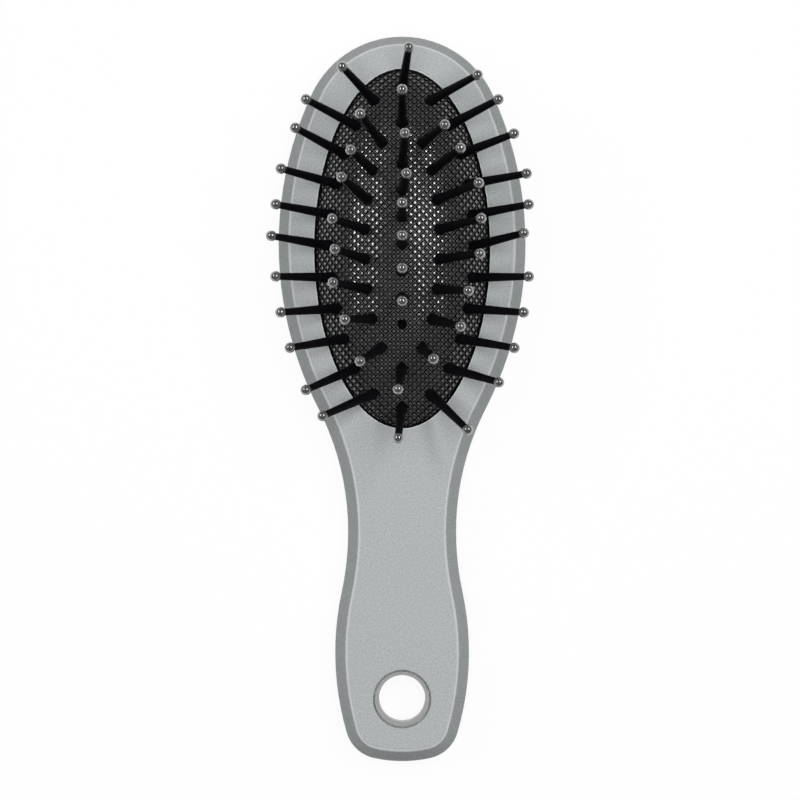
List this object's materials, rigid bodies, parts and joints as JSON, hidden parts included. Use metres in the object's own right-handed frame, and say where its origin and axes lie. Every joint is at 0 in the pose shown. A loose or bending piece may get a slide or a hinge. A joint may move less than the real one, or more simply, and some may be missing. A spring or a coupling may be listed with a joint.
{
  "type": "hair brush",
  "caption": "Oval cushion hair brush: ball-ended pins splay from a domed rubber pad in a flat-faced two-shell body with a hang hole.",
  "frame": {"origin": "middle of the brush's length on the flat of its back, which it rests on", "axes": "+Y towards the head's tip, +Z out of the face along the pins, +X to the right seen from the pins' side"},
  "size_m": [0.0594, 0.165, 0.041],
  "materials": {
    "silver_body": "satin metallic silver",
    "eyelet_metal": "satin",
    "pad_rubber": "satin with a fine diagonal grid",
    "pin_nylon": "satin black with a grey ball tip"
  },
  "bodies": {
    "shell": {"front_shell": "silver_body", "back_shell": "silver_body", "hang_eyelet": "eyelet_metal"},
    "cushion": {"cushion_pad": "pad_rubber"},
    "pin_outer_01": {"pin_outer_01": "pin_nylon"},
    "pin_outer_02": {"pin_outer_02": "pin_nylon"},
    "pin_outer_03": {"pin_outer_03": "pin_nylon"},
    "pin_outer_04": {"pin_outer_04": "pin_nylon"},
    "pin_outer_05": {"pin_outer_05": "pin_nylon"},
    "pin_outer_06": {"pin_outer_06": "pin_nylon"},
    "pin_outer_07": {"pin_outer_07": "pin_nylon"},
    "pin_outer_08": {"pin_outer_08": "pin_nylon"},
    "pin_outer_09": {"pin_outer_09": "pin_nylon"},
    "pin_outer_10": {"pin_outer_10": "pin_nylon"},
    "pin_outer_11": {"pin_outer_11": "pin_nylon"},
    "pin_outer_12": {"pin_outer_12": "pin_nylon"},
    "pin_outer_13": {"pin_outer_13": "pin_nylon"},
    "pin_outer_14": {"pin_outer_14": "pin_nylon"},
    "pin_outer_15": {"pin_outer_15": "pin_nylon"},
    "pin_outer_16": {"pin_outer_16": "pin_nylon"},
    "pin_outer_17": {"pin_outer_17": "pin_nylon"},
    "pin_outer_18": {"pin_outer_18": "pin_nylon"},
    "pin_outer_19": {"pin_outer_19": "pin_nylon"},
    "pin_outer_20": {"pin_outer_20": "pin_nylon"},
    "pin_outer_21": {"pin_outer_21": "pin_nylon"},
    "pin_outer_22": {"pin_outer_22": "pin_nylon"},
    "pin_outer_23": {"pin_outer_23": "pin_nylon"},
    "pin_outer_24": {"pin_outer_24": "pin_nylon"},
    "pin_inner_01": {"pin_inner_01": "pin_nylon"},
    "pin_inner_02": {"pin_inner_02": "pin_nylon"},
    "pin_inner_03": {"pin_inner_03": "pin_nylon"},
    "pin_inner_04": {"pin_inner_04": "pin_nylon"},
    "pin_inner_05": {"pin_inner_05": "pin_nylon"},
    "pin_inner_06": {"pin_inner_06": "pin_nylon"},
    "pin_inner_07": {"pin_inner_07": "pin_nylon"},
    "pin_inner_08": {"pin_inner_08": "pin_nylon"},
    "pin_inner_09": {"pin_inner_09": "pin_nylon"},
    "pin_inner_10": {"pin_inner_10": "pin_nylon"},
    "pin_inner_11": {"pin_inner_11": "pin_nylon"},
    "pin_inner_12": {"pin_inner_12": "pin_nylon"},
    "pin_inner_13": {"pin_inner_13": "pin_nylon"},
    "pin_inner_14": {"pin_inner_14": "pin_nylon"},
    "pin_inner_15": {"pin_inner_15": "pin_nylon"},
    "pin_inner_16": {"pin_inner_16": "pin_nylon"},
    "pin_inner_17": {"pin_inner_17": "pin_nylon"},
    "pin_inner_18": {"pin_inner_18": "pin_nylon"},
    "pin_centre_1": {"pin_centre_1": "pin_nylon"},
    "pin_centre_2": {"pin_centre_2": "pin_nylon"},
    "pin_centre_3": {"pin_centre_3": "pin_nylon"},
    "pin_centre_4": {"pin_centre_4": "pin_nylon"},
    "pin_centre_5": {"pin_centre_5": "pin_nylon"},
    "pin_centre_6": {"pin_centre_6": "pin_nylon"}
  },
  "joints": [
    {"name": "cushion_press", "type": "slide", "parent": "shell", "child": "cushion", "axis": [0, 0, -1], "range_m": [0, 0.0025], "stiffness_N_per_m": 6000, "deforming": ["cushion_pad"]},
    {"name": "tilt_outer_01", "type": "hinge", "parent": "cushion", "child": "pin_outer_01", "pos_m": [-0.00006, 0.06921, 0.01342], "axis": [0, 1, 0], "range_deg": [-12, 12], "stiffness_Nm_per_rad": 0.03, "deforming": ["cushion_pad"]},
    {"name": "tilt_outer_02", "type": "hinge", "parent": "cushion", "child": "pin_outer_02", "pos_m": [0.00576, 0.06641, 0.01378], "axis": [0, 1, 0], "range_deg": [-12, 12], "stiffness_Nm_per_rad": 0.03, "deforming": ["cushion_pad"]},
    {"name": "tilt_outer_03", "type": "hinge", "parent": "cushion", "child": "pin_outer_03", "pos_m": [0.00976, 0.06066, 0.01421], "axis": [0, 1, 0], "range_deg": [-12, 12], "stiffness_Nm_per_rad": 0.03, "deforming": ["cushion_pad"]},
    {"name": "tilt_outer_04", "type": "hinge", "parent": "cushion", "child": "pin_outer_04", "pos_m": [0.01232, 0.05419, 0.0146], "axis": [0, 1, 0], "range_deg": [-12, 12], "stiffness_Nm_per_rad": 0.03, "deforming": ["cushion_pad"]},
    {"name": "tilt_outer_05", "type": "hinge", "parent": "cushion", "child": "pin_outer_05", "pos_m": [0.01394, 0.04745, 0.0149], "axis": [0, 1, 0], "range_deg": [-12, 12], "stiffness_Nm_per_rad": 0.03, "deforming": ["cushion_pad"]},
    {"name": "tilt_outer_06", "type": "hinge", "parent": "cushion", "child": "pin_outer_06", "pos_m": [0.0149, 0.04048, 0.01505], "axis": [0, 1, 0], "range_deg": [-12, 12], "stiffness_Nm_per_rad": 0.03, "deforming": ["cushion_pad"]},
    {"name": "tilt_outer_07", "type": "hinge", "parent": "cushion", "child": "pin_outer_07", "pos_m": [0.01526, 0.03343, 0.01505], "axis": [0, 1, 0], "range_deg": [-12, 12], "stiffness_Nm_per_rad": 0.03, "deforming": ["cushion_pad"]},
    {"name": "tilt_outer_08", "type": "hinge", "parent": "cushion", "child": "pin_outer_08", "pos_m": [0.0149, 0.02649, 0.01505], "axis": [0, 1, 0], "range_deg": [-12, 12], "stiffness_Nm_per_rad": 0.03, "deforming": ["cushion_pad"]},
    {"name": "tilt_outer_09", "type": "hinge", "parent": "cushion", "child": "pin_outer_09", "pos_m": [0.01396, 0.01957, 0.01488], "axis": [0, 1, 0], "range_deg": [-12, 12], "stiffness_Nm_per_rad": 0.03, "deforming": ["cushion_pad"]},
    {"name": "tilt_outer_10", "type": "hinge", "parent": "cushion", "child": "pin_outer_10", "pos_m": [0.01232, 0.01279, 0.0146], "axis": [0, 1, 0], "range_deg": [-12, 12], "stiffness_Nm_per_rad": 0.03, "deforming": ["cushion_pad"]},
    {"name": "tilt_outer_11", "type": "hinge", "parent": "cushion", "child": "pin_outer_11", "pos_m": [0.00975, 0.00632, 0.01421], "axis": [0, 1, 0], "range_deg": [-12, 12], "stiffness_Nm_per_rad": 0.03, "deforming": ["cushion_pad"]},
    {"name": "tilt_outer_12", "type": "hinge", "parent": "cushion", "child": "pin_outer_12", "pos_m": [0.00585, 0.0008, 0.01381], "axis": [0, 1, 0], "range_deg": [-12, 12], "stiffness_Nm_per_rad": 0.03, "deforming": ["cushion_pad"]},
    {"name": "tilt_outer_13", "type": "hinge", "parent": "cushion", "child": "pin_outer_13", "pos_m": [0.00003, -0.00216, 0.01344], "axis": [0, 1, 0], "range_deg": [-12, 12], "stiffness_Nm_per_rad": 0.03, "deforming": ["cushion_pad"]},
    {"name": "tilt_outer_14", "type": "hinge", "parent": "cushion", "child": "pin_outer_14", "pos_m": [-0.00572, 0.00067, 0.01384], "axis": [0, 1, 0], "range_deg": [-12, 12], "stiffness_Nm_per_rad": 0.03, "deforming": ["cushion_pad"]},
    {"name": "tilt_outer_15", "type": "hinge", "parent": "cushion", "child": "pin_outer_15", "pos_m": [-0.00976, 0.00641, 0.01424], "axis": [0, 1, 0], "range_deg": [-12, 12], "stiffness_Nm_per_rad": 0.03, "deforming": ["cushion_pad"]},
    {"name": "tilt_outer_16", "type": "hinge", "parent": "cushion", "child": "pin_outer_16", "pos_m": [-0.01232, 0.01281, 0.0146], "axis": [0, 1, 0], "range_deg": [-12, 12], "stiffness_Nm_per_rad": 0.03, "deforming": ["cushion_pad"]},
    {"name": "tilt_outer_17", "type": "hinge", "parent": "cushion", "child": "pin_outer_17", "pos_m": [-0.01397, 0.01959, 0.01488], "axis": [0, 1, 0], "range_deg": [-12, 12], "stiffness_Nm_per_rad": 0.03, "deforming": ["cushion_pad"]},
    {"name": "tilt_outer_18", "type": "hinge", "parent": "cushion", "child": "pin_outer_18", "pos_m": [-0.0149, 0.02652, 0.01505], "axis": [0, 1, 0], "range_deg": [-12, 12], "stiffness_Nm_per_rad": 0.03, "deforming": ["cushion_pad"]},
    {"name": "tilt_outer_19", "type": "hinge", "parent": "cushion", "child": "pin_outer_19", "pos_m": [-0.01517, 0.03345, 0.01513], "axis": [0, 1, 0], "range_deg": [-12, 12], "stiffness_Nm_per_rad": 0.03, "deforming": ["cushion_pad"]},
    {"name": "tilt_outer_20", "type": "hinge", "parent": "cushion", "child": "pin_outer_20", "pos_m": [-0.0149, 0.04051, 0.01505], "axis": [0, 1, 0], "range_deg": [-12, 12], "stiffness_Nm_per_rad": 0.03, "deforming": ["cushion_pad"]},
    {"name": "tilt_outer_21", "type": "hinge", "parent": "cushion", "child": "pin_outer_21", "pos_m": [-0.01396, 0.04743, 0.01488], "axis": [0, 1, 0], "range_deg": [-12, 12], "stiffness_Nm_per_rad": 0.03, "deforming": ["cushion_pad"]},
    {"name": "tilt_outer_22", "type": "hinge", "parent": "cushion", "child": "pin_outer_22", "pos_m": [-0.01237, 0.05416, 0.01457], "axis": [0, 1, 0], "range_deg": [-12, 12], "stiffness_Nm_per_rad": 0.03, "deforming": ["cushion_pad"]},
    {"name": "tilt_outer_23", "type": "hinge", "parent": "cushion", "child": "pin_outer_23", "pos_m": [-0.00975, 0.06068, 0.01421], "axis": [0, 1, 0], "range_deg": [-12, 12], "stiffness_Nm_per_rad": 0.03, "deforming": ["cushion_pad"]},
    {"name": "tilt_outer_24", "type": "hinge", "parent": "cushion", "child": "pin_outer_24", "pos_m": [-0.0059, 0.06635, 0.01371], "axis": [0, 1, 0], "range_deg": [-12, 12], "stiffness_Nm_per_rad": 0.03, "deforming": ["cushion_pad"]},
    {"name": "tilt_inner_01", "type": "hinge", "parent": "cushion", "child": "pin_inner_01", "pos_m": [0, 0.06078, 0.01683], "axis": [0, 1, 0], "range_deg": [-12, 12], "stiffness_Nm_per_rad": 0.03, "deforming": ["cushion_pad"]},
    {"name": "tilt_inner_02", "type": "hinge", "parent": "cushion", "child": "pin_inner_02", "pos_m": [0.00432, 0.05641, 0.01763], "axis": [0, 1, 0], "range_deg": [-12, 12], "stiffness_Nm_per_rad": 0.03, "deforming": ["cushion_pad"]},
    {"name": "tilt_inner_03", "type": "hinge", "parent": "cushion", "child": "pin_inner_03", "pos_m": [0.0063, 0.04999, 0.0185], "axis": [0, 1, 0], "range_deg": [-12, 12], "stiffness_Nm_per_rad": 0.03, "deforming": ["cushion_pad"]},
    {"name": "tilt_inner_04", "type": "hinge", "parent": "cushion", "child": "pin_inner_04", "pos_m": [0.00728, 0.04344, 0.01912], "axis": [0, 1, 0], "range_deg": [-12, 12], "stiffness_Nm_per_rad": 0.03, "deforming": ["cushion_pad"]},
    {"name": "tilt_inner_05", "type": "hinge", "parent": "cushion", "child": "pin_inner_05", "pos_m": [0.00779, 0.03679, 0.0194], "axis": [0, 1, 0], "range_deg": [-12, 12], "stiffness_Nm_per_rad": 0.03, "deforming": ["cushion_pad"]},
    {"name": "tilt_inner_06", "type": "hinge", "parent": "cushion", "child": "pin_inner_06", "pos_m": [0.0078, 0.03016, 0.0194], "axis": [0, 1, 0], "range_deg": [-12, 12], "stiffness_Nm_per_rad": 0.03, "deforming": ["cushion_pad"]},
    {"name": "tilt_inner_07", "type": "hinge", "parent": "cushion", "child": "pin_inner_07", "pos_m": [0.00738, 0.02352, 0.01907], "axis": [0, 1, 0], "range_deg": [-12, 12], "stiffness_Nm_per_rad": 0.03, "deforming": ["cushion_pad"]},
    {"name": "tilt_inner_08", "type": "hinge", "parent": "cushion", "child": "pin_inner_08", "pos_m": [0.0063, 0.01699, 0.0185], "axis": [0, 1, 0], "range_deg": [-12, 12], "stiffness_Nm_per_rad": 0.03, "deforming": ["cushion_pad"]},
    {"name": "tilt_inner_09", "type": "hinge", "parent": "cushion", "child": "pin_inner_09", "pos_m": [0.00442, 0.01065, 0.01762], "axis": [0, 1, 0], "range_deg": [-12, 12], "stiffness_Nm_per_rad": 0.03, "deforming": ["cushion_pad"]},
    {"name": "tilt_inner_10", "type": "hinge", "parent": "cushion", "child": "pin_inner_10", "pos_m": [0.00003, 0.00625, 0.01684], "axis": [0, 1, 0], "range_deg": [-12, 12], "stiffness_Nm_per_rad": 0.03, "deforming": ["cushion_pad"]},
    {"name": "tilt_inner_11", "type": "hinge", "parent": "cushion", "child": "pin_inner_11", "pos_m": [-0.00432, 0.01069, 0.01764], "axis": [0, 1, 0], "range_deg": [-12, 12], "stiffness_Nm_per_rad": 0.03, "deforming": ["cushion_pad"]},
    {"name": "tilt_inner_12", "type": "hinge", "parent": "cushion", "child": "pin_inner_12", "pos_m": [-0.00631, 0.01695, 0.01849], "axis": [0, 1, 0], "range_deg": [-12, 12], "stiffness_Nm_per_rad": 0.03, "deforming": ["cushion_pad"]},
    {"name": "tilt_inner_13", "type": "hinge", "parent": "cushion", "child": "pin_inner_13", "pos_m": [-0.00736, 0.02347, 0.01908], "axis": [0, 1, 0], "range_deg": [-12, 12], "stiffness_Nm_per_rad": 0.03, "deforming": ["cushion_pad"]},
    {"name": "tilt_inner_14", "type": "hinge", "parent": "cushion", "child": "pin_inner_14", "pos_m": [-0.00791, 0.03015, 0.01935], "axis": [0, 1, 0], "range_deg": [-12, 12], "stiffness_Nm_per_rad": 0.03, "deforming": ["cushion_pad"]},
    {"name": "tilt_inner_15", "type": "hinge", "parent": "cushion", "child": "pin_inner_15", "pos_m": [-0.00788, 0.03683, 0.01936], "axis": [0, 1, 0], "range_deg": [-12, 12], "stiffness_Nm_per_rad": 0.03, "deforming": ["cushion_pad"]},
    {"name": "tilt_inner_16", "type": "hinge", "parent": "cushion", "child": "pin_inner_16", "pos_m": [-0.00743, 0.04342, 0.01906], "axis": [0, 1, 0], "range_deg": [-12, 12], "stiffness_Nm_per_rad": 0.03, "deforming": ["cushion_pad"]},
    {"name": "tilt_inner_17", "type": "hinge", "parent": "cushion", "child": "pin_inner_17", "pos_m": [-0.00636, 0.05003, 0.01847], "axis": [0, 1, 0], "range_deg": [-12, 12], "stiffness_Nm_per_rad": 0.03, "deforming": ["cushion_pad"]},
    {"name": "tilt_inner_18", "type": "hinge", "parent": "cushion", "child": "pin_inner_18", "pos_m": [-0.00432, 0.05632, 0.01764], "axis": [0, 1, 0], "range_deg": [-12, 12], "stiffness_Nm_per_rad": 0.03, "deforming": ["cushion_pad"]},
    {"name": "tilt_centre_1", "type": "hinge", "parent": "cushion", "child": "pin_centre_1", "pos_m": [-0.00003, 0.0513, 0.0192], "axis": [0, 1, 0], "range_deg": [-12, 12], "stiffness_Nm_per_rad": 0.03, "deforming": ["cushion_pad"]},
    {"name": "tilt_centre_2", "type": "hinge", "parent": "cushion", "child": "pin_centre_2", "pos_m": [-0.00004, 0.04543, 0.0201], "axis": [0, 1, 0], "range_deg": [-12, 12], "stiffness_Nm_per_rad": 0.03, "deforming": ["cushion_pad"]},
    {"name": "tilt_centre_3", "type": "hinge", "parent": "cushion", "child": "pin_centre_3", "pos_m": [0, 0.03945, 0.02063], "axis": [0, 1, 0], "range_deg": [-12, 12], "stiffness_Nm_per_rad": 0.03, "deforming": ["cushion_pad"]},
    {"name": "tilt_centre_4", "type": "hinge", "parent": "cushion", "child": "pin_centre_4", "pos_m": [0, 0.0335, 0.0208], "axis": [0, 1, 0], "range_deg": [-12, 12], "stiffness_Nm_per_rad": 0.03, "deforming": ["cushion_pad"]},
    {"name": "tilt_centre_5", "type": "hinge", "parent": "cushion", "child": "pin_centre_5", "pos_m": [0, 0.02755, 0.02063], "axis": [0, 1, 0], "range_deg": [-12, 12], "stiffness_Nm_per_rad": 0.03, "deforming": ["cushion_pad"]},
    {"name": "tilt_centre_6", "type": "hinge", "parent": "cushion", "child": "pin_centre_6", "pos_m": [0, 0.0216, 0.0201], "axis": [0, 1, 0], "range_deg": [-12, 12], "stiffness_Nm_per_rad": 0.03, "deforming": ["cushion_pad"]}
  ]
}
